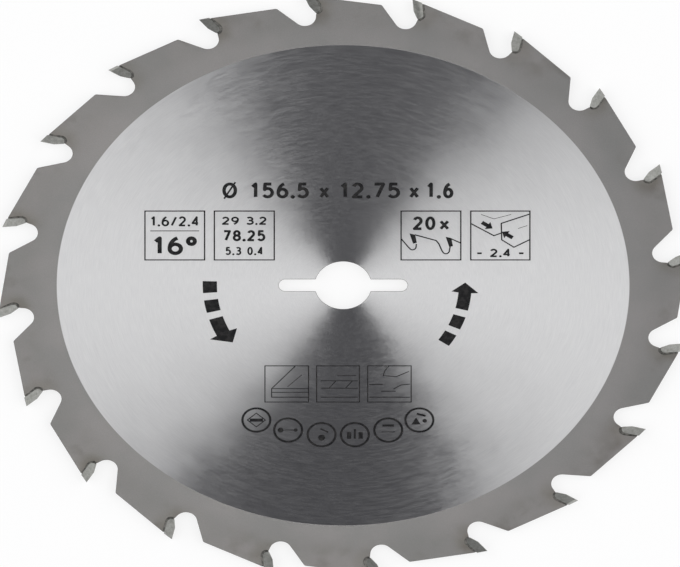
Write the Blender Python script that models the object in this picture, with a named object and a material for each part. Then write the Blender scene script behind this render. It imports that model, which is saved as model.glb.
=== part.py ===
# Circular saw blade: a thin steel plate with a bore, two drive pin slots and gullets, and a
# carbide tip brazed into a seat at the front of each tooth.
#
# Metres, +Z up. The blade lies flat in the XY plane, with its origin at the middle of the bore
# and of the plate's thickness. Seen from +Z its teeth face counter-clockwise.
#
# Each tooth is drawn in a frame of its own, which the tooth's angle then turns into place:
# +X runs out through the cutting point, and +Y runs ahead, the way that the tooth faces.

import math

import bmesh
import bpy
from mathutils import Matrix, Vector

MM = 0.001

BLADE_DIAMETER = 156.5 * MM  # over the cutting points
TOOTH_COUNT = 20
FIRST_TOOTH_ANGLE = math.radians(6.5)  # from +X to the first cutting point

PLATE_THICKNESS = 1.6 * MM
BORE_DIAMETER = 12.75 * MM
PIN_SLOT_LENGTH = 29.0 * MM  # from round end to round end, across the bore
PIN_SLOT_WIDTH = 3.2 * MM

# The carbide tip. Its hook angle leans the rake face back from the radius.
HOOK_ANGLE = math.radians(16.0)
RAKE_FACE_LENGTH = 3.2 * MM
RAKE_RELIEF_LENGTH = 2.1 * MM  # the stretch below the rake face, ground back from it
RAKE_RELIEF_ANGLE = math.radians(17.0)
TIP_THICKNESS = 2.1 * MM  # from the rake face to the back
TIP_HEEL_RADIUS = 1.0 * MM  # between the foot and the back
HEEL_SHARE = 0.8  # the most of the foot that the heel's round may take
TIP_OVERHANG = 0.4 * MM  # cutting corner beyond the plate's face, on each side
TOP_CLEARANCE_ANGLE = math.radians(11.0)
TOP_BEVEL_ANGLE = math.radians(15.0)  # slopes to alternate sides, tooth by tooth
RADIAL_SIDE_ANGLE = math.radians(1.5)
TANGENTIAL_SIDE_ANGLE = math.radians(2.5)
GRINDING_SPARE = 0.3 * MM  # what the tip's blank has to spare before it is ground

# The tooth that carries the tip, and the gullet ahead of it.
BRAZE_GAP = 0.28 * MM  # between the tip and its seat
LAND_DROP = 0.25 * MM  # the land below the tip's top
LAND_ANGLE = math.radians(14.8)
GULLET_FACE_LENGTH = 1.05 * MM  # straight, from the seat to the gullet's round
GULLET_FACE_ANGLE = math.radians(11.0)
GULLET_RADIUS = 2.5 * MM
GULLET_WALL_ANGLE = math.radians(43.0)  # the far wall, from the radius
SHOULDER_RADIUS = 0.6 * MM

CHORD_ERROR = 0.005 * MM  # the most that a chord may cut off a round
ON_PLANE = 0.0001 * MM  # how near a corner counts as on a grinding plane
SHARP_ANGLE = math.radians(20)  # edges sharper than this stay crisp

TIP_RADIUS = BLADE_DIAMETER / 2
TOOTH_PITCH = math.tau / TOOTH_COUNT
TIP_LENGTH = RAKE_FACE_LENGTH + RAKE_RELIEF_LENGTH
CUTTING_EDGE_WIDTH = PLATE_THICKNESS + 2 * TIP_OVERHANG


def clear_scene():
    for thing in list(bpy.data.objects):
        bpy.data.objects.remove(thing, do_unlink=True)


def metal(name, colour, roughness):
    material = bpy.data.materials.new(name)
    material.use_nodes = True
    shader = material.node_tree.nodes["Principled BSDF"]
    shader.inputs["Base Color"].default_value = (*colour, 1.0)
    shader.inputs["Metallic"].default_value = 1.0
    shader.inputs["Roughness"].default_value = roughness
    return material


def add_object(name, data):
    thing = bpy.data.objects.new(name, data)
    bpy.context.scene.collection.objects.link(thing)
    return thing


def heading(angle):
    return Vector((math.cos(angle), math.sin(angle)))


def angle_of(vector):
    return math.atan2(vector.y, vector.x)


def turned(points, angle):
    turn = Matrix.Rotation(angle, 2)
    return [turn @ point for point in points]


def arc(centre, radius, start, end):
    """Points from the start angle to the end angle, close enough for CHORD_ERROR."""
    step = 2 * math.acos(1 - CHORD_ERROR / radius)
    count = max(2, math.ceil(abs(end - start) / step))
    return [centre + radius * heading(start + (end - start) * i / count) for i in range(count + 1)]


def meeting_point(point, direction, other_point, other_direction):
    """Where a line through one point crosses a line through another."""
    across = Vector((-other_direction.y, other_direction.x))
    return point + direction * ((other_point - point).dot(across) / direction.dot(across))


def rounded_corner(corner, coming, going, radius):
    """An arc in place of a left-hand corner between two directions."""
    turn = angle_of(going) - angle_of(coming)
    before = corner - coming * (radius * math.tan(turn / 2))
    centre = before + radius * Vector((-coming.y, coming.x))
    start = angle_of(coming) - math.pi / 2
    return arc(centre, radius, start, start + turn)


def on_tip(depth, behind):
    """A point of the tooth's frame, from its depth along the rake face and its distance behind it."""
    down = -heading(HOOK_ANGLE)
    back = heading(HOOK_ANGLE - math.pi / 2)
    return Vector((TIP_RADIUS, 0.0)) + depth * down + behind * back


def foot_and_back(gap, top_depth):
    """The line along a tip's foot, round its heel and up its back, a gap outside the tip."""
    foot_depth = TIP_LENGTH + gap
    foot_front = (RAKE_RELIEF_LENGTH + gap) * math.tan(RAKE_RELIEF_ANGLE)
    foot_width = TIP_THICKNESS - RAKE_RELIEF_LENGTH * math.tan(RAKE_RELIEF_ANGLE)
    heel_radius = min(TIP_HEEL_RADIUS, HEEL_SHARE * foot_width)
    corner = on_tip(foot_depth, TIP_THICKNESS + gap)
    heel = rounded_corner(
        corner, heading(HOOK_ANGLE - math.pi / 2), heading(HOOK_ANGLE), heel_radius + gap
    )
    return [on_tip(foot_depth, foot_front), *heel, on_tip(top_depth, TIP_THICKNESS + gap)]


def land_start():
    """Where the land meets the seat: a little below the line of the tip's top."""
    behind = TIP_THICKNESS + BRAZE_GAP
    return behind * math.tan(HOOK_ANGLE + TOP_CLEARANCE_ANGLE) + LAND_DROP


def tooth_outline():
    """The plate's edge from the top of a tooth's seat, through its gullet, to the next shoulder."""
    seat = foot_and_back(BRAZE_GAP, land_start())[::-1]

    face = heading(math.pi - GULLET_FACE_ANGLE)
    gullet_start = seat[-1] + GULLET_FACE_LENGTH * face
    gullet_centre = gullet_start + GULLET_RADIUS * Vector((face.y, -face.x))
    wall = heading(GULLET_WALL_ANGLE)
    first = angle_of(gullet_start - gullet_centre)
    last = GULLET_WALL_ANGLE + math.pi / 2 - math.tau
    gullet = arc(gullet_centre, GULLET_RADIUS, first, last)

    (next_land_start,) = turned([seat[0]], TOOTH_PITCH)
    next_land = heading(math.pi / 2 - LAND_ANGLE + TOOTH_PITCH)
    corner = meeting_point(gullet[-1], wall, next_land_start, next_land)
    shoulder = rounded_corner(corner, wall, next_land, SHOULDER_RADIUS)
    return [*seat, *gullet, *shoulder]


def plate_outline():
    tooth = tooth_outline()
    outline = []
    for number in range(TOOTH_COUNT):
        outline += turned(tooth, FIRST_TOOTH_ANGLE + number * TOOTH_PITCH)
    return outline


def arbor_outline():
    """The bore, with a round-ended slot on each side for the drive pins."""
    bore_radius = BORE_DIAMETER / 2
    slot_end_radius = PIN_SLOT_WIDTH / 2
    slot_end = Vector((PIN_SLOT_LENGTH / 2 - slot_end_radius, 0.0))
    mouth = math.asin(slot_end_radius / bore_radius)
    half = arc(slot_end, slot_end_radius, -math.pi / 2, math.pi / 2)
    half += arc(Vector((0.0, 0.0)), bore_radius, mouth, math.pi - mouth)
    return half + turned(half, math.pi)


def make_plate():
    """The plate as it is cut: one flat outline with a hole, given its thickness."""
    sheet = bpy.data.curves.new("blade_plate", "CURVE")
    sheet.dimensions = "2D"
    sheet.fill_mode = "BOTH"
    sheet.extrude = PLATE_THICKNESS / 2
    for outline in (plate_outline(), arbor_outline()):
        spline = sheet.splines.new("POLY")
        spline.points.add(len(outline) - 1)
        for point, place in zip(spline.points, outline):
            point.co = (place.x, place.y, 0.0, 1.0)
        spline.use_cyclic_u = True
    sheet.materials.append(metal("plate_steel", (0.52, 0.52, 0.51), 0.32))
    add_object("blade_plate", sheet)


def tip_blank():
    """The tip as pressed, before grinding: its side profile, wider and taller than it ends."""
    profile = [on_tip(-GRINDING_SPARE, 0.0), on_tip(RAKE_FACE_LENGTH, 0.0)]
    profile += foot_and_back(0.0, -GRINDING_SPARE)
    width = CUTTING_EDGE_WIDTH + 2 * GRINDING_SPARE
    blank = bmesh.new()
    low = [blank.verts.new((point.x, point.y, -width / 2)) for point in profile]
    side = blank.faces.new(low)
    raised = bmesh.ops.extrude_face_region(blank, geom=[side])["geom"]
    high = [item for item in raised if isinstance(item, bmesh.types.BMVert)]
    bmesh.ops.translate(blank, verts=high, vec=(0.0, 0.0, width))
    bmesh.ops.recalc_face_normals(blank, faces=blank.faces)
    return blank


def grind(blank, corner, normal):
    """Takes off all that lies beyond a plane through a corner, and leaves a flat ground face."""
    everything = blank.verts[:] + blank.edges[:] + blank.faces[:]
    cut = bmesh.ops.bisect_plane(
        blank, geom=everything, dist=ON_PLANE, plane_co=corner, plane_no=normal, clear_outer=True
    )
    rim = [item for item in cut["geom_cut"] if isinstance(item, bmesh.types.BMEdge)]
    bmesh.ops.edgeloop_fill(blank, edges=rim)


def tip_mesh(name, high_side):
    """A ground tip. Its top slopes down across the blade from high_side, which is 1 for +Z or -1."""
    blank = tip_blank()
    half_width = CUTTING_EDGE_WIDTH / 2
    for side in (1, -1):
        corner = Vector((TIP_RADIUS, 0.0, side * half_width))
        away = Vector((-math.tan(RADIAL_SIDE_ANGLE), -math.tan(TANGENTIAL_SIDE_ANGLE), side))
        grind(blank, corner, away)
    high_corner = Vector((TIP_RADIUS, 0.0, high_side * half_width))
    up = Vector((1.0, -math.tan(TOP_CLEARANCE_ANGLE), -high_side * math.tan(TOP_BEVEL_ANGLE)))
    grind(blank, high_corner, up)
    bmesh.ops.recalc_face_normals(blank, faces=blank.faces)
    mesh = bpy.data.meshes.new(name)
    blank.to_mesh(mesh)
    blank.free()
    mesh.shade_smooth()
    mesh.set_sharp_from_angle(angle=SHARP_ANGLE)
    return mesh


def make_tips():
    """One tip in each seat, with bevels that face one way and the other by turns."""
    carbide = metal("carbide", (0.42, 0.42, 0.42), 0.38)
    meshes = (tip_mesh("carbide_tip_high_front", 1), tip_mesh("carbide_tip_high_back", -1))
    for mesh in meshes:
        mesh.materials.append(carbide)
    for number in range(TOOTH_COUNT):
        tip = add_object(f"carbide_tip_{number + 1:02d}", meshes[number % 2])
        tip.rotation_euler.z = FIRST_TOOTH_ANGLE + number * TOOTH_PITCH


clear_scene()
make_plate()
make_tips()
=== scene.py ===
# The looks of the circular saw blade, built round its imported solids. Metres, +Z up.
#
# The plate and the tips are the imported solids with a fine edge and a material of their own.
# The seams of braze, the print, the floor, the light and the camera are made here.

import itertools
import math
import random

import bmesh
import bpy
from mathutils import Matrix, Vector
from mathutils.geometry import delaunay_2d_cdt


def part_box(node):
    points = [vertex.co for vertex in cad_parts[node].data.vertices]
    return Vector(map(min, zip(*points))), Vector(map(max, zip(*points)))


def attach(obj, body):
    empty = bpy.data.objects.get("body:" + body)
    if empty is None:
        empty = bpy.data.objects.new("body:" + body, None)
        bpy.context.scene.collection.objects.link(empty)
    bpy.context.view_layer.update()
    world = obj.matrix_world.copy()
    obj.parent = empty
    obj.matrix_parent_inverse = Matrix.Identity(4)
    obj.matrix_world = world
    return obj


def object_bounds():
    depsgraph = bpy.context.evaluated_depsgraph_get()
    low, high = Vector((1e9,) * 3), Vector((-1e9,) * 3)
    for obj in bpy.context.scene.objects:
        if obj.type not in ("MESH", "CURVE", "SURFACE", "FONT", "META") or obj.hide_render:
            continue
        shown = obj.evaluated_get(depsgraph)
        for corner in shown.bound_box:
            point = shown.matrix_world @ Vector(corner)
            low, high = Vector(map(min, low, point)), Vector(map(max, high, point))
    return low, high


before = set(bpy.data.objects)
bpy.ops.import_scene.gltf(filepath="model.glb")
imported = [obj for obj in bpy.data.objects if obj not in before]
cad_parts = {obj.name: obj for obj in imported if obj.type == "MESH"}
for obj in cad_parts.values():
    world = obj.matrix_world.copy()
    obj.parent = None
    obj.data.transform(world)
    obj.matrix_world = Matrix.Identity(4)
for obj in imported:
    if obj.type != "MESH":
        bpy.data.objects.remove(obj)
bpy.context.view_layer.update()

MM = 0.001
BODY = "root"
TIPS = sorted(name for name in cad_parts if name.startswith("carbide_tip"))
PLATE_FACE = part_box("blade_plate")[1].z
FLOOR_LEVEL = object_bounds()[0].z

# The blade, as its solids have it.
TIP_RADIUS = 78.25 * MM
FIRST_TOOTH_ANGLE = math.radians(6.5)
TOOTH_PITCH = math.tau / len(TIPS)
HOOK_ANGLE = math.radians(16.0)
TOP_CLEARANCE_ANGLE = math.radians(11.0)
TOP_BEVEL_ANGLE = math.radians(15.0)
TIP_LENGTH = 5.3 * MM
TIP_THICKNESS = 2.1 * MM
TIP_HALF_WIDTH = 1.2 * MM
RELIEF_LENGTH = 2.1 * MM
RELIEF_ANGLE = math.radians(17.0)
HEEL_RADIUS = 1.0 * MM
RADIAL_SIDE_ANGLE = math.radians(1.5)
TANGENTIAL_SIDE_ANGLE = math.radians(2.5)
SEAT_GAP = 0.28 * MM
LAND_DROP = 0.25 * MM

# Its broken edges.
PLATE_EDGE = 0.10 * MM
TIP_EDGE = 0.03 * MM
EDGE_SEGMENTS = 2
SHARP_ANGLE = math.radians(35.0)  # an edge that turns by more than this is broken
FLAT_ANGLE = math.radians(0.3)  # facets that turn by less than this are one flat
SAME_CORNER = 0.0005 * MM  # corners nearer to each other than this are one

# The braze between a tip and its seat.
BRAZE_SEED = 7
BRAZE_RECESS = 0.08 * MM  # how far it draws back from its seat's open ends
BRAZE_LAP = 0.02 * MM  # how far it laps into the tip
BRAZE_DROP = 0.03 * MM  # how far it stays below the tip's sides
BRAZE_SKIN = 0.012 * MM  # how thick it is where it ends on the plate
HEAP_WIDTHS = (0.1, 0.38)  # how far it heaps out past its seat, in millimetres
HEAP_END = 0.4  # the share of its length on which the heap is full, from the foot on
HEAP_THINNING = 0.75  # the share of the heap that is gone at the other end
RAGGED_WIDTH = 0.16  # how much further it may spread, in millimetres
CREST_PLACE = 0.55  # where its crest runs, as a share of the gap
CREST_HEIGHTS = (0.45, 0.7)  # how high, as a share of the step from plate to tip
HEEL_STEPS = 8
BACK_STEPS = 7

# How the steel and the carbide are finished.
POLISHED_RADIUS = 64.4 * MM  # the brushed disc, inside the blasted rim
POLISHED_BLUR = 0.06 * MM
BRUSH_CENTRE = (0.8 * MM, 0.0, 0.0)  # the brushing is not quite true to the bore
BRUSH_TURN = math.radians(-2.9)  # how far the brushing leans off a circle at the bore
BRUSH_TURN_PER_M = math.radians(128.0)  # and how much more it leans with each metre of radius
GRIND_TURN = math.radians(-18.0)  # how far the tips' grinding leans off a circle
HEAT_DEPTH = 3.5 * MM  # the middle of a tip's seat, below the tip circle
HEAT_TURN = 0.026  # and how far round it is from the tip's point, in radians
HEAT_CORE = 1.5 * MM  # how far from there its tint is full
HEAT_REACH = 6.0 * MM  # and how far it reaches

# The studio.
BOX_LIGHT = 1.68
BOX_EDGE = (0.52, 0.545)  # how far round to the side a box begins: 1 is square to the side
BOX_FADE = 0.3  # the power by which it fades towards its ends
BOX_TOP = (0.13, 0.40)  # how far from straight up it ends
BOX_FOOT = (0.0, 0.1)  # and how far above the horizon
DIM_LIGHT = (0.098, 0.098, 0.106)
PALE_FOOT = 0.98  # what is seen below the horizon, past the floor
FLOOR_RADIUS = 4.0
FLOOR_WHITENESS = 0.78  # the share of plain white in what is seen of the floor

# The photograph is a square picture stretched sideways, so its camera is stretched too.
PHOTO_WIDTH = 680
PIXELS_PER_MM_ACROSS = 4.446
PIXELS_PER_MM_UP = 3.730
VIEW_CENTRE = Vector((-0.70 * MM, 0.48 * MM, 0.0))
CAMERA_HEIGHT = 0.5


def grey(level):
    return (level, level, level)


def is_socket(value):
    return isinstance(value, bpy.types.NodeSocket)


class Nodes:
    """Adds shader nodes to one material or world, and links what they are given."""

    def __init__(self, owner):
        owner.use_nodes = True
        self.tree = owner.node_tree
        self.tree.nodes.clear()

    def put(self, value, target):
        if is_socket(value):
            self.tree.links.new(value, target)
        else:
            target.default_value = value

    def add(self, kind, inputs=None, **settings):
        made = self.tree.nodes.new(kind)
        for name, value in settings.items():
            setattr(made, name, value)
        for name, value in (inputs or {}).items():
            self.put(value, made.inputs[name])
        return made

    def feed(self, shader, **sockets):
        for name, value in sockets.items():
            self.put(value, shader.inputs[name.replace("_", " ")])

    def math(self, operation, *values):
        return self.add("ShaderNodeMath", dict(enumerate(values)), operation=operation).outputs[0]

    def vector_math(self, operation, *values):
        made = self.add("ShaderNodeVectorMath", dict(enumerate(values)), operation=operation)
        return made.outputs["Value" if operation in ("LENGTH", "DOT_PRODUCT") else "Vector"]

    def times(self, vector, factor):
        made = self.add("ShaderNodeVectorMath", {0: vector, "Scale": factor}, operation="SCALE")
        return made.outputs["Vector"]

    def parts(self, vector):
        return self.add("ShaderNodeSeparateXYZ", {0: vector}).outputs

    def vector(self, **parts):
        return self.add("ShaderNodeCombineXYZ", parts).outputs[0]

    def flattened(self, place):
        """A place, dropped straight down onto the plane of the blade's middle."""
        return self.vector_math("MULTIPLY", place, (1.0, 1.0, 0.0))

    def step(self, value, low, high, low_value=0.0, high_value=1.0):
        """Smoothly from low_value to high_value as value goes from low to high."""
        inputs = {0: value, 1: low, 2: high, 3: low_value, 4: high_value}
        made = self.add("ShaderNodeMapRange", inputs, interpolation_type="SMOOTHSTEP")
        return made.outputs[0]

    def noise(self, vector, scale, detail, roughness):
        inputs = {"Vector": vector, "Scale": scale, "Detail": detail, "Roughness": roughness}
        return self.add("ShaderNodeTexNoise", inputs).outputs["Fac"]

    def contrast(self, noise, low_value=0.0, high_value=1.0):
        """Noise, which seldom leaves 0.3 to 0.7, spread from low_value to high_value."""
        return self.step(noise, 0.3, 0.7, low_value, high_value)

    def mix(self, share, first, second):
        return self.add("ShaderNodeMix", {0: share, 2: first, 3: second}).outputs[0]

    def colour(self, share, first, second):
        """From the first colour to the second. Each is a socket or three numbers."""
        first, second = (value if is_socket(value) else (*value, 1.0) for value in (first, second))
        made = self.add("ShaderNodeMix", {0: share, 6: first, 7: second}, data_type="RGBA")
        return made.outputs[2]

    def tinted(self, colour, share, first, second):
        """A colour times a tint, which goes from the first to the second."""
        inputs = {0: 1.0, 6: colour, 7: self.colour(share, first, second)}
        made = self.add("ShaderNodeMix", inputs, data_type="RGBA", blend_type="MULTIPLY")
        return made.outputs[2]

    def bump(self, height, strength, distance):
        inputs = {"Height": height, "Strength": strength, "Distance": distance}
        return self.add("ShaderNodeBump", inputs).outputs["Normal"]


def surface_material(name):
    material = bpy.data.materials.new(name)
    nodes = Nodes(material)
    shader = nodes.add("ShaderNodeBsdfPrincipled")
    nodes.add("ShaderNodeOutputMaterial", {"Surface": shader.outputs[0]})
    return material, nodes, shader


def turned_outward(nodes, outward, turn):
    """The direction away from the blade's axis, turned about it by a small angle."""
    x, y, _ = nodes.parts(outward)
    around = nodes.vector(X=nodes.math("MULTIPLY", y, -1.0), Y=x, Z=0.0)
    turned = nodes.vector_math("ADD", outward, nodes.times(around, turn))
    return nodes.vector_math("NORMALIZE", turned)


def ring_noise(nodes, outward, radius, arcs, rings, detail):
    """Noise drawn out along circles: so many marks to a radian and so many to a metre of radius."""
    turn = nodes.times(outward, arcs)
    ring = nodes.vector(Z=nodes.math("MULTIPLY", radius, rings))
    return nodes.noise(nodes.vector_math("ADD", turn, ring), 1.0, detail, 0.6)


def from_seat(nodes, place, radius):
    """About how far a place on the plate is from the middle of the nearest tip's seat."""
    x, y, _ = nodes.parts(place)
    turn = nodes.math("SUBTRACT", nodes.math("ARCTAN2", y, x), FIRST_TOOTH_ANGLE - HEAT_TURN)
    nearest = nodes.math("SNAP", nodes.math("ADD", turn, TOOTH_PITCH / 2), TOOTH_PITCH)
    along = nodes.math("MULTIPLY", nodes.math("SUBTRACT", turn, nearest), TIP_RADIUS)
    down = nodes.math("SUBTRACT", radius, TIP_RADIUS - HEAT_DEPTH)
    squares = nodes.math("MULTIPLY_ADD", along, along, nodes.math("MULTIPLY", down, down))
    return nodes.math("SQRT", squares)


def blasted_colour(nodes, place, radius, outward, grain):
    """The rim's grey: clouded, stained near the teeth, warmed at the seats, with painted light on
    one side.
    """
    cloud = nodes.noise(place, 45.0, 3.0, 0.55)
    stain = nodes.noise(place, 95.0, 3.0, 0.6)
    colour = nodes.colour(nodes.contrast(cloud), (0.305, 0.303, 0.298), (0.345, 0.335, 0.33))
    near_teeth = nodes.step(radius, 67 * MM, 76 * MM)
    stained = nodes.math("MULTIPLY", nodes.step(stain, 0.50, 0.72, 0.0, 0.6), near_teeth)
    colour = nodes.colour(stained, colour, (0.205, 0.19, 0.175))
    near_seat = nodes.step(from_seat(nodes, place, radius), HEAT_CORE, HEAT_REACH, 1.0, 0.0)
    heated = nodes.math("MULTIPLY", near_seat, nodes.step(stain, 0.3, 0.65, 0.25, 0.85))
    colour = nodes.tinted(colour, heated, grey(1.0), (0.80, 0.775, 0.72))
    # Painted light: the rim's grey is lighter towards the lower left, where the light falls more
    # strongly.
    painted_light_side = nodes.vector_math("DOT_PRODUCT", outward, (-0.91, -0.42, 0.0))
    painted_light_share = nodes.step(painted_light_side, -1.0, 1.0)
    colour = nodes.tinted(colour, painted_light_share, grey(0.94), (1.07, 1.065, 1.055))
    outer_ring = nodes.step(radius, 66 * MM, 72 * MM)
    colour = nodes.tinted(colour, outer_ring, grey(1.0), (0.935, 0.935, 0.93))
    return nodes.tinted(colour, grain, grey(0.84), grey(1.16))


def plate_steel():
    """Steel brushed round and round on the disc, blasted matte on the rim, with dark cut walls:
    burnt oxide, and painted shade on the broken edges.
    """
    material, nodes, shader = surface_material("plate_steel")
    geometry = nodes.add("ShaderNodeNewGeometry").outputs
    place = geometry["Position"]
    flat = nodes.flattened(place)
    radius = nodes.vector_math("LENGTH", flat)
    outward = nodes.vector_math("NORMALIZE", flat)
    from_centre = nodes.vector_math("NORMALIZE", nodes.vector_math("SUBTRACT", flat, BRUSH_CENTRE))
    rim = nodes.step(radius, POLISHED_RADIUS - POLISHED_BLUR, POLISHED_RADIUS + POLISHED_BLUR)
    lift = nodes.parts(geometry["True Normal"])[2]
    wall = nodes.step(nodes.math("ABSOLUTE", lift), 0.90, 0.995, 1.0, 0.0)

    fine = ring_noise(nodes, outward, radius, 14.0, 4600.0, 3.0)
    hair = ring_noise(nodes, outward, radius, 14.0, 12000.0, 2.0)
    streak = ring_noise(nodes, outward, radius, 14.0, 2100.0, 2.0)
    broad = ring_noise(nodes, outward, radius, 4.0, 420.0, 3.0)
    patch = nodes.noise(place, 110.0, 2.0, 0.5)
    grain = nodes.noise(place, 5200.0, 2.0, 0.6)
    cut = nodes.noise(nodes.vector_math("MULTIPLY", place, (1.0, 1.0, 0.12)), 9000.0, 2.0, 0.6)

    polished = nodes.colour(nodes.contrast(fine), (0.60, 0.60, 0.605), (0.63, 0.63, 0.63))
    polished = nodes.tinted(polished, nodes.contrast(hair), grey(0.965), grey(1.03))
    blasted = blasted_colour(nodes, place, radius, outward, grain)
    # The cut walls and their broken edges are dark: partly the oxide of the cut, partly painted
    # shade along the edges.
    burnt_and_shaded = nodes.colour(nodes.contrast(cut), (0.11, 0.108, 0.102), (0.19, 0.185, 0.175))
    face_colour = nodes.colour(rim, polished, blasted)

    # The brushing is a little coarser towards +Y, and wanders off its circles.
    across = nodes.parts(place)[1]
    brushed = nodes.step(across, -50 * MM, 50 * MM, 1.0, 0.93)
    brushed = nodes.math("MULTIPLY", brushed, nodes.step(streak, 0.32, 0.68, 1.0, 0.94))
    brushed = nodes.math("MULTIPLY", brushed, nodes.math("SUBTRACT", 1.0, rim))
    lean = nodes.math("MULTIPLY_ADD", radius, BRUSH_TURN_PER_M, BRUSH_TURN)
    for share, wave in ((0.08, fine), (0.05, streak), (0.09, broad), (0.14, patch)):
        lean = nodes.math("MULTIPLY_ADD", nodes.math("SUBTRACT", wave, 0.5), share, lean)

    blur = nodes.contrast(nodes.mix(0.35, fine, streak), 0.35, 0.44)
    roughness = nodes.mix(rim, blur, 0.72)
    groove = nodes.mix(wall, nodes.mix(rim, fine, grain), cut)
    nodes.feed(
        shader,
        Base_Color=nodes.colour(wall, face_colour, burnt_and_shaded),
        Metallic=1.0,
        Roughness=nodes.mix(wall, roughness, 0.6),
        Anisotropic=nodes.math("MULTIPLY", brushed, nodes.math("SUBTRACT", 1.0, wall)),
        Tangent=turned_outward(nodes, from_centre, lean),
        Normal=nodes.bump(groove, 0.12, 0.01 * MM),
    )
    return material


def carbide():
    """Tungsten carbide, ground to a fine satin. Its scratches run aslant round the blade."""
    material, nodes, shader = surface_material("carbide")
    place = nodes.add("ShaderNodeNewGeometry").outputs["Position"]
    flat = nodes.flattened(place)
    radius = nodes.vector_math("LENGTH", flat)
    outward = nodes.vector_math("NORMALIZE", flat)
    x, y, z = nodes.parts(place)
    along = nodes.math("MULTIPLY", nodes.math("ARCTAN2", y, x), TIP_RADIUS)
    across = nodes.math("MULTIPLY_ADD", along, math.tan(GRIND_TURN), radius)
    marks = nodes.vector(X=across, Y=along, Z=z)
    marks = nodes.vector_math("MULTIPLY", marks, (14000.0, 800.0, 2500.0))
    scratch = nodes.noise(marks, 1.0, 3.0, 0.6)
    tone = nodes.mix(0.5, scratch, nodes.noise(place, 1300.0, 3.0, 0.6))
    nodes.feed(
        shader,
        Base_Color=nodes.colour(
            nodes.step(tone, 0.32, 0.68), (0.26, 0.262, 0.244), (0.42, 0.422, 0.40)
        ),
        Metallic=1.0,
        Roughness=nodes.contrast(scratch, 0.46, 0.56),
        Anisotropic=0.7,
        Tangent=turned_outward(nodes, outward, GRIND_TURN),
        Normal=nodes.bump(scratch, 0.25, 0.012 * MM),
    )
    return material


def braze():
    """Braze and flux stain: dull and uneven, with painted shade making it darkest at a tip's heel.
    """
    material, nodes, shader = surface_material("braze")
    place = nodes.add("ShaderNodeNewGeometry").outputs["Position"]
    blotch = nodes.noise(place, 1400.0, 3.0, 0.6)
    radius = nodes.vector_math("LENGTH", nodes.flattened(place))
    colour = nodes.colour(nodes.step(blotch, 0.35, 0.65), (0.06, 0.059, 0.054), (0.19, 0.185, 0.17))
    # Painted shade: the braze is darker below the heel, in the hollow of the seat.
    out_of_heel_shade = nodes.step(radius, 72.9 * MM, 74.3 * MM)
    nodes.feed(
        shader,
        Base_Color=nodes.tinted(colour, out_of_heel_shade, grey(0.6), grey(1.0)),
        Metallic=0.6,
        Roughness=nodes.contrast(blotch, 0.45, 0.7),
        Normal=nodes.bump(blotch, 0.5, 0.05 * MM),
    )
    return material


def print_ink():
    """Thin black ink, a little uneven where it covers the brushed steel."""
    material, nodes, shader = surface_material("print_ink")
    place = nodes.add("ShaderNodeNewGeometry").outputs["Position"]
    patch = nodes.noise(place, 900.0, 3.0, 0.6)
    nodes.feed(
        shader,
        Base_Color=nodes.colour(
            nodes.step(patch, 0.35, 0.7), (0.007, 0.007, 0.008), (0.026, 0.025, 0.025)
        ),
        Roughness=nodes.contrast(patch, 0.55, 0.7),
        Specular_IOR_Level=0.15,
        Normal=nodes.bump(patch, 0.2, 0.01 * MM),
    )
    return material


def floor_paint():
    """A pale floor. Most of what is seen of it is plain white, so its shadows stay faint."""
    material, nodes, shader = surface_material("floor_paint")
    place = nodes.add("ShaderNodeNewGeometry").outputs["Position"]
    nodes.feed(
        shader,
        Base_Color=nodes.colour(nodes.noise(place, 60.0, 2.0, 0.5), grey(0.94), grey(0.96)),
        Roughness=0.9,
        Specular_IOR_Level=0.0,
    )
    rays = nodes.add("ShaderNodeLightPath").outputs
    seen = nodes.math("MAXIMUM", rays["Is Camera Ray"], rays["Is Glossy Ray"])
    seen = nodes.math("MAXIMUM", seen, rays["Is Transmission Ray"])
    white = nodes.add("ShaderNodeEmission", {"Color": (1.0, 1.0, 1.0, 1.0), "Strength": 1.0})
    share = nodes.math("MULTIPLY", seen, FLOOR_WHITENESS)
    both = nodes.add("ShaderNodeMixShader", {0: share, 1: shader.outputs[0], 2: white.outputs[0]})
    nodes.put(both.outputs[0], nodes.tree.get_output_node("ALL").inputs["Surface"])
    return material


def dress(thing, material):
    thing.data.materials.clear()
    thing.data.materials.append(material)


def fine_edges(thing, width):
    """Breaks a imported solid's edges: joins its facets, clears its flats, rounds what is sharp."""
    weld = thing.modifiers.new("join", "WELD")
    weld.merge_threshold = SAME_CORNER
    flats = thing.modifiers.new("flats", "DECIMATE")
    flats.decimate_type = "DISSOLVE"
    flats.angle_limit = FLAT_ANGLE
    edge = thing.modifiers.new("edge", "BEVEL")
    edge.width = width
    edge.segments = EDGE_SEGMENTS
    edge.limit_method = "ANGLE"
    edge.angle_limit = SHARP_ANGLE
    edge.use_clamp_overlap = False


def finish_piece(piece, material):
    dress(piece, material)
    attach(piece, BODY)


def mesh_piece(name, mesh):
    """A named object from a bmesh."""
    bmesh.ops.recalc_face_normals(mesh, faces=mesh.faces)
    data = bpy.data.meshes.new(name)
    mesh.to_mesh(data)
    mesh.free()
    piece = bpy.data.objects.new(name, data)
    bpy.context.scene.collection.objects.link(piece)
    return piece


def heading(angle):
    return Vector((math.cos(angle), math.sin(angle)))


def on_tip(depth, behind):
    """A point of the tooth's frame, so deep along the rake face and so far behind it."""
    down = -heading(HOOK_ANGLE)
    back = heading(HOOK_ANGLE - math.pi / 2)
    return Vector((TIP_RADIUS, 0.0)) + depth * down + behind * back


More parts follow.
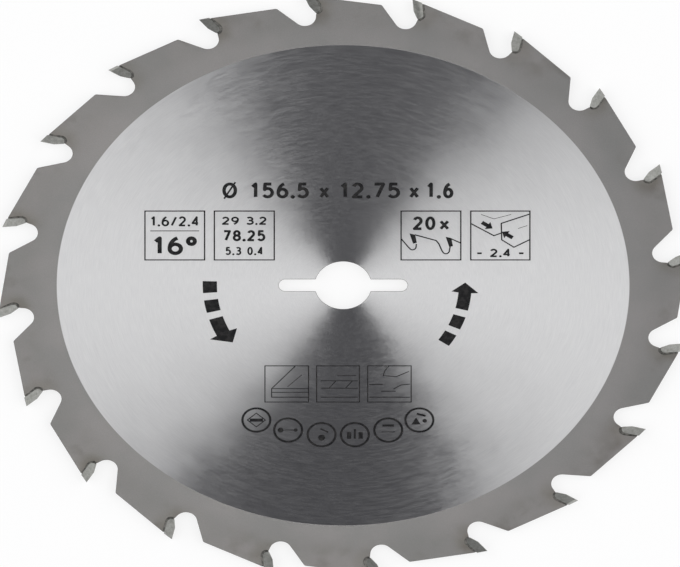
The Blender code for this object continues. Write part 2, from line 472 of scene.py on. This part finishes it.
def round_tip(out):
    """Points along a tip's foot, round its heel and up its back, at a distance outside it.

    They start and end a little inside the tooth, as braze draws back from its open ends.
    """
    foot = on_tip(TIP_LENGTH + out, (RELIEF_LENGTH + out) * math.tan(RELIEF_ANGLE) + BRAZE_RECESS)
    centre = on_tip(TIP_LENGTH - HEEL_RADIUS, TIP_THICKNESS - HEEL_RADIUS)
    start = HOOK_ANGLE - math.pi
    heel = [
        centre + (HEEL_RADIUS + out) * heading(start + math.pi / 2 * i / HEEL_STEPS)
        for i in range(HEEL_STEPS + 1)
    ]
    top_depth = (TIP_THICKNESS + out) * math.tan(HOOK_ANGLE + TOP_CLEARANCE_ANGLE) + LAND_DROP
    top = on_tip(top_depth + BRAZE_RECESS, TIP_THICKNESS + out)
    back = [heel[-1].lerp(top, i / BACK_STEPS) for i in range(1, BACK_STEPS + 1)]
    return [foot, *heel, *back]


def tip_half_width(point):
    """How far the tip's side is from the middle of the plate, at a point of the tooth's frame."""
    inward = (TIP_RADIUS - point.x) * math.tan(RADIAL_SIDE_ANGLE)
    behind = -point.y * math.tan(TANGENTIAL_SIDE_ANGLE)
    return TIP_HALF_WIDTH - inward - behind


def below_top(point, height, high_side):
    """A point of a seam, drawn in where it would stand out of the tip's ground top."""
    past_corner = height - high_side * TIP_HALF_WIDTH
    bevel = high_side * past_corner * math.tan(TOP_BEVEL_ANGLE)
    ceiling = TIP_RADIUS + (point.y * math.tan(TOP_CLEARANCE_ANGLE) + bevel) - BRAZE_RECESS
    return Vector((min(point.x, ceiling), point.y, height))


def seam_spread(count, chance):
    """How far a seam reaches out from its tip at each of its points: most at the heel."""
    heap = chance.uniform(*HEAP_WIDTHS)
    spread = []
    for i in range(count):
        up_the_back = max(0.0, i / (count - 1) - HEAP_END) / (1 - HEAP_END)
        heaped = heap * (1 - HEAP_THINNING * up_the_back)
        spread.append(SEAT_GAP + (heaped + chance.uniform(0.0, RAGGED_WIDTH)) * MM)
    spread[0] = spread[-1] = SEAT_GAP + PLATE_EDGE
    for _ in range(2):
        inner = [sum(spread[i - 1 : i + 2]) / 3 for i in range(1, count - 1)]
        spread = [spread[0], *inner, spread[-1]]
    return spread


def braze_seam(name, angle, high_side, chance):
    """The braze between a tip and its seat: it fills the gap and feathers out over the plate."""
    seam = bmesh.new()
    turn = Matrix.Rotation(angle, 3, "Z")
    near = round_tip(-BRAZE_LAP)
    middle = round_tip(SEAT_GAP * CREST_PLACE)
    rings = []
    for i, spread in enumerate(seam_spread(len(near), chance)):
        outer = round_tip(spread)[i]
        high = tip_half_width(near[i]) - BRAZE_DROP
        crest = PLATE_FACE + (high - PLATE_FACE) * chance.uniform(*CREST_HEIGHTS)
        section = [(near[i], high), (middle[i], crest), (outer, PLATE_FACE + BRAZE_SKIN)]
        section += [(point, -height) for point, height in reversed(section)]
        rings.append([seam.verts.new(turn @ below_top(p, z, high_side)) for p, z in section])
    for first, second in zip(rings, rings[1:]):
        for i in range(len(first)):
            seam.faces.new((first[i - 1], first[i], second[i], second[i - 1]))
    seam.faces.new(rings[0])
    seam.faces.new(rings[-1])
    piece = mesh_piece(name, seam)
    for face in piece.data.polygons:
        face.use_smooth = True
    return piece


# Print, in millimetres on the plate's upper face. Each piece of it is one thin solid.
INK_DEPTH = 0.02 * MM
INK_CORNER = 0.001 * MM  # corners nearer to each other than this are one
LINE = 0.30
PRINT_SHIFT = Vector((-0.08, 0.2))  # the screen was not laid quite true to the bore
SHARP_TURN = 0.7  # a path that turns by more than this, in radians, has a round joint
JOINT_SIDES = 16
CLOSED_GAP = 0.001  # a path whose ends are nearer to each other than this is closed
ARC_STEP = 12  # degrees
BAND_STEP = 1.5  # degrees
FIGURE_GAP = 0.13  # between two figures, as a share of their height
DOT_RADIUS = 0.62  # as a share of the figures' weight
SLASH_WEIGHT = 0.5
SLASH_PAST = 0.1  # how far the slash through a circle stands out above and below
INSIDE_ONLY = 1  # the triangulation keeps what lies inside the marks
SAME_POINT = 1e-5  # and takes points nearer to each other than this as one


def around(radius, degrees):
    """A point about the bore."""
    turn = math.radians(degrees)
    return (radius * math.cos(turn), radius * math.sin(turn))


def arc(x, y, across, up, start, end):
    """Points on an ellipse about x, y, between two angles in degrees."""
    steps = max(3, math.ceil(abs(end - start) / ARC_STEP))
    turns = [math.radians(start + (end - start) * i / steps) for i in range(steps + 1)]
    return [(x + across * math.cos(t), y + up * math.sin(t)) for t in turns]


def turned_over(strokes):
    return [[(1 - x, 1 - y) for x, y in stroke] for stroke in strokes]


# Each figure's strokes, in a cell one wide and one high.
SIX = [arc(0.5, 0.3, 0.5, 0.3, 0, 360), arc(0.9, 0.3, 0.9, 0.72, 180, 103)]
FIGURES = {
    "0": [arc(0.5, 0.5, 0.5, 0.5, 0, 360)],
    "1": [[(0.0, 0.78), (0.6, 1.0), (0.6, 0.0)]],
    "2": [arc(0.47, 0.71, 0.47, 0.29, 160, -32) + [(0.0, 0.0), (1.0, 0.0)]],
    "3": [arc(0.45, 0.76, 0.47, 0.24, 145, -90) + arc(0.45, 0.27, 0.55, 0.27, 90, -145)],
    "4": [[(0.74, 0.0), (0.74, 1.0), (0.0, 0.27), (1.0, 0.27)]],
    "5": [[(0.9, 1.0), (0.16, 1.0), (0.1, 0.56)] + arc(0.45, 0.325, 0.55, 0.325, 118, -148)],
    "6": SIX,
    "7": [[(0.0, 1.0), (1.0, 1.0), (0.32, 0.0)]],
    "8": [arc(0.5, 0.76, 0.43, 0.24, 0, 360), arc(0.5, 0.26, 0.5, 0.26, 0, 360)],
    "9": turned_over(SIX),
    "/": [[(0.0, 0.0), (1.0, 1.0)]],
    "-": [[(0.0, 0.45), (1.0, 0.45)]],
    "x": [[(0.0, 0.0), (1.0, 0.68)], [(0.0, 0.68), (1.0, 0.0)]],
    "°": [arc(0.5, 0.8, 0.5, 0.2, 0, 360)],
    "Ø": [arc(0.5, 0.5, 0.5, 0.5, 0, 360)],
    ".": [],
    " ": [],
}
FIGURE_WIDTHS = {"1": 0.62, "/": 0.75, "-": 0.8, "°": 0.6, "Ø": 1.4, ".": 0.0, " ": 0.35}


class Print:
    """Collects flat marks, and joins them into one thin solid."""

    def __init__(self, name):
        self.name = name
        self.shapes = []

    def patch(self, points):
        points = [Vector(point) for point in points]
        turning = sum(points[i - 1].cross(points[i]) for i in range(len(points)))
        self.shapes.append(points if turning > 0 else points[::-1])

    def bar(self, left, bottom, right, top):
        self.patch([(left, bottom), (right, bottom), (right, top), (left, top)])

    def line(self, start, end, width=LINE):
        a, b = Vector(start), Vector(end)
        side = (b - a).normalized().orthogonal() * (width / 2)
        self.patch([a - side, b - side, b + side, a + side])

    def path(self, points, width=LINE):
        """A line through points: mitred where it bends, and round where it turns sharply."""
        points = [Vector(point) for point in points]
        half = width / 2
        sides = [(b - a).normalized().orthogonal() * half for a, b in zip(points, points[1:])]
        closed = (points[0] - points[-1]).length < CLOSED_GAP
        before = [sides[-1] if closed else sides[0], *sides]
        after = [*sides, sides[0] if closed else sides[-1]]
        joints = []
        for point, first, second in zip(points, before, after):
            if first.angle(second) > SHARP_TURN:
                self.disc(*point, half, JOINT_SIDES)
                joints.append((first, second))
            else:
                mitre = (first + second) / (1 + first.dot(second) / half**2)
                joints.append((mitre, mitre))
        for i, (a, b) in enumerate(zip(points, points[1:])):
            start, end = joints[i][1], joints[i + 1][0]
            self.patch([a - start, b - end, b + end, a + start])

    def loop(self, outer, inner):
        """A closed band between two outlines with as many points each."""
        for i in range(len(outer)):
            self.patch([outer[i - 1], outer[i], inner[i], inner[i - 1]])

    def box(self, left, bottom, right, top, width=LINE):
        half = width / 2
        corners = (
            (left, bottom, -1, -1),
            (right, bottom, 1, -1),
            (right, top, 1, 1),
            (left, top, -1, 1),
        )
        outer = [(x + dx * half, y + dy * half) for x, y, dx, dy in corners]
        inner = [(x - dx * half, y - dy * half) for x, y, dx, dy in corners]
        self.loop(outer, inner)

    def ring(self, x, y, radius, width):
        outer = arc(x, y, radius, radius, 0, 360)[1:]
        inner = arc(x, y, radius - width, radius - width, 0, 360)[1:]
        self.loop(outer, inner)

    def disc(self, x, y, radius, sides=24):
        turns = [math.tau * i / sides for i in range(sides)]
        self.patch([(x + radius * math.cos(t), y + radius * math.sin(t)) for t in turns])

    def arrow(self, x, y, direction, length, half_width, shaft):
        """A straight arrow about x, y: its direction is in degrees."""
        along = heading(math.radians(direction))
        side = along.orthogonal()
        middle = Vector((x, y))
        neck = middle + along * (length / 2 - half_width * 1.2)
        tip = middle + along * (length / 2)
        tail = middle - along * (length / 2)
        self.patch([tip, neck + side * half_width, neck - side * half_width])
        self.line(tail, neck + along * 0.1, shaft)

    def band(self, low_radius, high_radius, start, end):
        """A piece of a ring about the bore, between two angles in degrees."""
        steps = max(2, math.ceil(abs(end - start) / BAND_STEP))
        turns = [start + (end - start) * i / steps for i in range(steps + 1)]
        outside = [around(high_radius, turn) for turn in turns]
        inside = [around(low_radius, turn) for turn in reversed(turns)]
        self.patch(outside + inside)

    def figures(self, text, box, weight, gap=FIGURE_GAP):
        """Plain figures that fill a box. The gap between them is a share of their height."""
        left, bottom, right, top = box
        height = top - bottom - weight
        widths = [FIGURE_WIDTHS.get(character, 1.0) for character in text]
        spare = right - left - len(text) * weight - (len(text) - 1) * gap * (top - bottom)
        cell = spare / sum(widths)
        for character, width in zip(text, widths):
            x, y = left + weight / 2, bottom + weight / 2
            for stroke in FIGURES[character]:
                self.path([(x + u * width * cell, y + v * height) for u, v in stroke], weight)
            if character == ".":
                self.disc(x, y, weight * DOT_RADIUS)
            if character == "Ø":
                low, high = (x, bottom - SLASH_PAST), (x + width * cell, top + SLASH_PAST)
                self.line(low, high, weight * SLASH_WEIGHT)
            left += weight + width * cell + gap * (top - bottom)

    def done(self, ink):
        """Joins the marks where they overlap, and raises them into one solid."""
        points = [point + PRINT_SHIFT for shape in self.shapes for point in shape]
        ends = list(itertools.accumulate(len(shape) for shape in self.shapes))
        faces = [list(range(end - len(shape), end)) for end, shape in zip(ends, self.shapes)]
        found = delaunay_2d_cdt(points, [], faces, INSIDE_ONLY, SAME_POINT)
        joined, _, triangles, _, _, sources = found
        mesh = bmesh.new()
        corners = [mesh.verts.new((point.x * MM, point.y * MM, PLATE_FACE)) for point in joined]
        for triangle, source in zip(triangles, sources):
            if source:
                mesh.faces.new([corners[i] for i in triangle])
        loose = [corner for corner in corners if not corner.link_faces]
        bmesh.ops.delete(mesh, geom=loose, context="VERTS")
        bmesh.ops.remove_doubles(mesh, verts=mesh.verts[:], dist=INK_CORNER)
        raised = bmesh.ops.extrude_face_region(mesh, geom=mesh.faces[:])["geom"]
        top = [item for item in raised if isinstance(item, bmesh.types.BMVert)]
        bmesh.ops.translate(mesh, verts=top, vec=(0.0, 0.0, INK_DEPTH))
        finish_piece(mesh_piece(self.name, mesh), ink)


def turning_arrow(name, ink, inner, outer, dashes, shaft, tip, spread):
    """A broken arrow bent round the bore: dashes, then a shaft with its head.

    Dashes and shaft run between two angles in degrees, and the tip is a radius and an angle.
    """
    marks = Print(name)
    for start, end in dashes:
        marks.band(inner, outer, start, end)
    marks.band(inner, outer, *shaft)
    # The head laps over the shaft's end, and its barbs lean forward a little.
    middle = (inner + outer) / 2
    neck = shaft[1] - 0.4
    barb = shaft[1] + 0.3
    head = [(inner - spread, barb), (middle, neck), (outer + spread, barb), tip]
    marks.patch([around(*corner) for corner in head])
    marks.done(ink)


def turning_arrows(ink):
    turning_arrow(
        "left_arrow",
        ink,
        inner=28.3,
        outer=31.5,
        dashes=[(178.3, 184.2), (187.8, 194.0)],
        shaft=(197.4, 205.9),
        tip=(29.2, 212.1),
        spread=1.8,
    )
    turning_arrow(
        "right_arrow",
        ink,
        inner=26.1,
        outer=29.0,
        dashes=[(-34.6, -28.1), (-24.6, -17.7)],
        shaft=(-14.0, -4.6),
        tip=(27.55, 1.1),
        spread=1.6,
    )


def size_line(ink):
    """The blade's diameter, bore and plate thickness, as numbers and signs."""
    low, high = 23.1, 27.35
    bold, light = 0.80, 0.76
    marks = Print("size_line")
    marks.figures("Ø", (-27.1, low, -23.75, high), bold)
    marks.figures("156.5", (-20.7, low, -7.6, high), bold)
    marks.figures("x", (-5.35, low, -3.0, high), light)
    marks.figures("12.75", (-0.6, low, 12.9, high), bold)
    marks.figures("x", (14.9, low, 17.2, high), light)
    marks.figures("1.6", (18.9, low, 24.9, high), bold)
    marks.done(ink)


def boxed_facts(ink):
    """Four boxes: plate, kerf and hook; slots, radius and tip; tooth form; kerf in a board."""
    low, high = 6.6, 19.7

    first = Print("box_kerf_and_hook")
    first.box(-44.49, low, -31.08, high)
    first.path([(-43.3, 14.38), (-32.3, 14.38)], 0.2)
    first.figures("1.6/2.4", (-43.2, 15.6, -32.3, 18.3), 0.48)
    first.figures("16°", (-42.6, 7.9, -32.8, 12.9), 0.95)
    first.done(ink)

    second = Print("box_slots_and_tip")
    second.box(-28.88, low, -15.41, high)
    second.figures("29 3.2", (-27.2, 16.0, -17.1, 18.2), 0.45, 0.16)
    second.figures("78.25", (-27.0, 11.6, -17.4, 14.6), 0.60)
    second.figures("5.3 0.4", (-26.4, 7.9, -17.9, 10.1), 0.42, 0.14)
    second.done(ink)

    third = Print("box_tooth_form")
    third.box(13.12, low, 26.55, high)
    tip = ((0.0, 0.0), (1.26, -0.35), (1.65, -2.5), (0.8, -2.75))
    for start in ((15.02, 13.7), (23.15, 12.8)):
        third.patch([Vector(start) + Vector(corner) for corner in tip])
    third.path([(13.2, 12.2), (14.7, 10.1), *arc(15.7, 10.2, 0.8, 0.9, 215, 350), (16.55, 10.9)])
    back = [(16.2, 13.35), (21.0, 11.8), (21.6, 10.95), (22.3, 9.1)]
    third.path([*back, *arc(23.2, 9.2, 0.8, 0.95, 205, 350), (24.15, 10.1)])
    third.path([(24.3, 12.3), (26.5, 11.15)])
    third.figures("20", (15.75, 14.6, 20.85, 18.25), 0.72)
    third.figures("x", (21.7, 14.6, 24.0, 18.25), 0.70)
    third.done(ink)

    fourth = Print("box_kerf_in_board")
    fourth.box(28.79, low, 42.09, high)
    fourth.path([(28.9, 16.3), (34.0, 13.1), (35.65, 13.8)])
    fourth.path([(41.95, 18.85), (35.65, 16.4), (35.75, 12.0), (38.5, 10.0), (42.0, 12.0)])
    fourth.path([(31.1, 18.8), (34.0, 17.6), (37.9, 18.8)], 0.13)
    fourth.path([(39.4, 15.0), (41.5, 15.8)], 0.13)
    fourth.arrow(32.5, 15.85, -34, 2.9, 1.15, 0.95)
    fourth.arrow(37.0, 13.35, 146, 2.9, 1.15, 0.95)
    fourth.figures("- 2.4 -", (30.0, 7.35, 40.9, 9.6), 0.46, 0.16)
    fourth.done(ink)


def board_frames(ink):
    """Three small pictures of boards: a plank, a panel and a block."""
    low, high = -31.5, -21.8
    frame_line = 0.24
    plank = Print("frame_plank")
    plank.box(-17.5, low, -7.7, high, frame_line)
    plank.path([(-10.7, -21.9), (-16.0, -27.9), (-16.0, -30.2), (-7.8, -30.2)], frame_line)
    for y in (-27.9, -28.9):
        plank.line((-16.1, y), (-7.8, y), 0.2)
    plank.line((-9.2, -24.2), (-12.4, -27.4), 0.16)
    plank.done(ink)

    panel = Print("frame_panel")
    panel.box(-5.88, low, 3.75, high, frame_line)
    for y in (-25.8, -27.8, -30.2):
        panel.line((-4.9, y), (3.4, y), 0.2)
    for x in (-3.1, 0.6):
        panel.line((x, -27.8), (x + 1.6, -25.8), 0.2)
    panel.line((-1.2, -24.4), (3.0, -24.4), 0.16)
    panel.done(ink)

    block = Print("frame_block")
    block.box(5.61, low, 15.38, high, frame_line)
    block.path([(10.4, -21.9), (9.5, -23.0), (9.1, -24.4), (12.0, -24.7), (14.9, -23.3)], 0.2)
    block.path([(11.4, -28.0), (13.2, -26.9), (15.1, -26.7)], 0.2)
    for left, y, right in ((5.9, -26.8, 9.0), (8.6, -28.6, 11.9), (6.0, -30.2, 15.1)):
        block.line((left, y), (right, y), 0.22)
    block.done(ink)


def ring_row(ink):
    """Six rings on an arc, each round a plain mark."""
    radius, width = 3.4, 0.52
    left_half = ((-19.43, -36.32), (-12.29, -39.0), (-4.76, -40.24))
    right_half = ((2.72, -40.24), (10.22, -39.0), (17.23, -36.32))
    marks = Print("ring_row")
    for x, y in (*left_half, *right_half):
        marks.ring(x, y, radius, width)
    (x1, y1), (x2, y2), (x3, y3) = left_half
    (x4, y4), (x5, y5), (x6, y6) = right_half

    # A bar in a diamond.
    marks.bar(x1 - 1.5, y1 - 0.45, x1 + 1.5, y1 + 0.4)
    marks.loop(
        [(x1 - 2.2, y1), (x1, y1 - 2.0), (x1 + 2.2, y1), (x1, y1 + 2.0)],
        [(x1 - 1.85, y1), (x1, y1 - 1.7), (x1 + 1.85, y1), (x1, y1 + 1.7)],
    )
    # Two discs joined by a line.
    marks.disc(x2 - 1.7, y2, 0.65)
    marks.disc(x2 + 1.7, y2, 0.45)
    marks.line((x2 - 1.7, y2), (x2 + 1.7, y2), 0.2)
    # A disc under a slanted line.
    marks.disc(x3, y3 - 0.8, 0.8)
    marks.line((x3 - 0.3, y3 + 1.6), (x3 + 1.5, y3 + 0.6), 0.35)
    # Three upright bars.
    marks.bar(x4 - 1.8, y4 - 1.1, x4 - 0.8, y4 + 0.7)
    marks.bar(x4 + 0.8, y4 - 1.1, x4 + 1.8, y4 + 0.7)
    marks.bar(x4 - 0.25, y4 - 1.1, x4 + 0.25, y4 + 1.5)
    # A thick bar over a thin one.
    marks.bar(x5 - 1.3, y5 + 0.9, x5 + 1.3, y5 + 1.5)
    marks.line((x5 - 1.5, y5 - 0.5), (x5 + 1.5, y5 - 0.5), 0.2)
    # A triangle and a disc under a slanted line.
    marks.patch([(x6 - 1.8, y6 - 1.2), (x6 + 0.3, y6 - 1.2), (x6 - 0.75, y6 + 0.7)])
    marks.disc(x6 + 1.2, y6 - 0.2, 0.5)
    marks.line((x6 - 0.6, y6 + 1.7), (x6 + 1.4, y6 + 1.1), 0.5)
    marks.done(ink)


def add_print(ink):
    size_line(ink)
    boxed_facts(ink)
    board_frames(ink)
    ring_row(ink)
    turning_arrows(ink)


def add_floor():
    bpy.ops.mesh.primitive_circle_add(
        vertices=96, radius=FLOOR_RADIUS, fill_type="NGON", location=(0.0, 0.0, FLOOR_LEVEL)
    )
    floor = bpy.context.object
    floor.name = "floor"
    dress(floor, floor_paint())


def add_world():
    """Two long soft boxes, left and right, in a dim studio. Below the floor's edge it is pale."""
    world = bpy.data.worlds.new("studio")
    bpy.context.scene.world = world
    nodes = Nodes(world)
    x, y, z = nodes.parts(nodes.add("ShaderNodeTexCoord").outputs["Generated"])
    squares = nodes.math("ADD", nodes.math("MULTIPLY", x, x), nodes.math("MULTIPLY", y, y))
    level = nodes.math("MAXIMUM", nodes.math("SQRT", squares), 0.0001)
    sideways = nodes.math("DIVIDE", nodes.math("ABSOLUTE", x), level)

    boxes = nodes.step(sideways, *BOX_EDGE)
    for share in (
        nodes.math("POWER", sideways, BOX_FADE),
        nodes.step(nodes.math("ABSOLUTE", x), *BOX_TOP),
        nodes.step(z, *BOX_FOOT),
        BOX_LIGHT,
    ):
        boxes = nodes.math("MULTIPLY", boxes, share)
    light = nodes.vector_math("ADD", boxes, DIM_LIGHT)
    above = nodes.math("GREATER_THAN", z, 0.0)
    colour = nodes.colour(above, grey(PALE_FOOT), light)
    background = nodes.add("ShaderNodeBackground", {"Color": colour, "Strength": 1.0})
    nodes.add("ShaderNodeOutputWorld", {"Surface": background.outputs[0]})


def add_camera():
    """Straight down, +Y up, with no perspective, and stretched sideways as the photograph is.

    The stretch is a slant of the camera's own X axis, held in its parent's inverse. Seen along
    the camera's rays it is a foreshortening.
    """
    squeeze = PIXELS_PER_MM_UP / PIXELS_PER_MM_ACROSS
    slant = math.sqrt(1 - squeeze**2)
    data = bpy.data.cameras.new("camera")
    data.type = "ORTHO"
    data.ortho_scale = PHOTO_WIDTH / PIXELS_PER_MM_UP * MM
    data.clip_start = 0.01
    data.clip_end = 20.0
    camera = bpy.data.objects.new("camera", data)
    holder = bpy.data.objects.new("camera_holder", None)
    for thing in (camera, holder):
        bpy.context.scene.collection.objects.link(thing)
    camera.parent = holder
    camera.matrix_parent_inverse = Matrix(
        (
            (squeeze, 0.0, 0.0, VIEW_CENTRE.x),
            (0.0, 1.0, 0.0, VIEW_CENTRE.y),
            (slant, 0.0, 1.0, CAMERA_HEIGHT),
            (0.0, 0.0, 0.0, 1.0),
        )
    )
    bpy.context.scene.camera = camera


def main():
    bpy.context.scene.view_settings.view_transform = "Standard"
    add_camera()
    add_world()
    add_floor()

    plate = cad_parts["blade_plate"]
    dress(plate, plate_steel())
    fine_edges(plate, PLATE_EDGE)
    tip_metal = carbide()
    for name in TIPS:
        dress(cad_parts[name], tip_metal)
        fine_edges(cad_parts[name], TIP_EDGE)

    seam_metal = braze()
    chance = random.Random(BRAZE_SEED)
    for number in range(len(TIPS)):
        angle = FIRST_TOOTH_ANGLE + number * TOOTH_PITCH
        high_side = 1 - 2 * (number % 2)
        seam = braze_seam(f"braze_seam_{number + 1:02d}", angle, high_side, chance)
        finish_piece(seam, seam_metal)

    add_print(print_ink())


main()
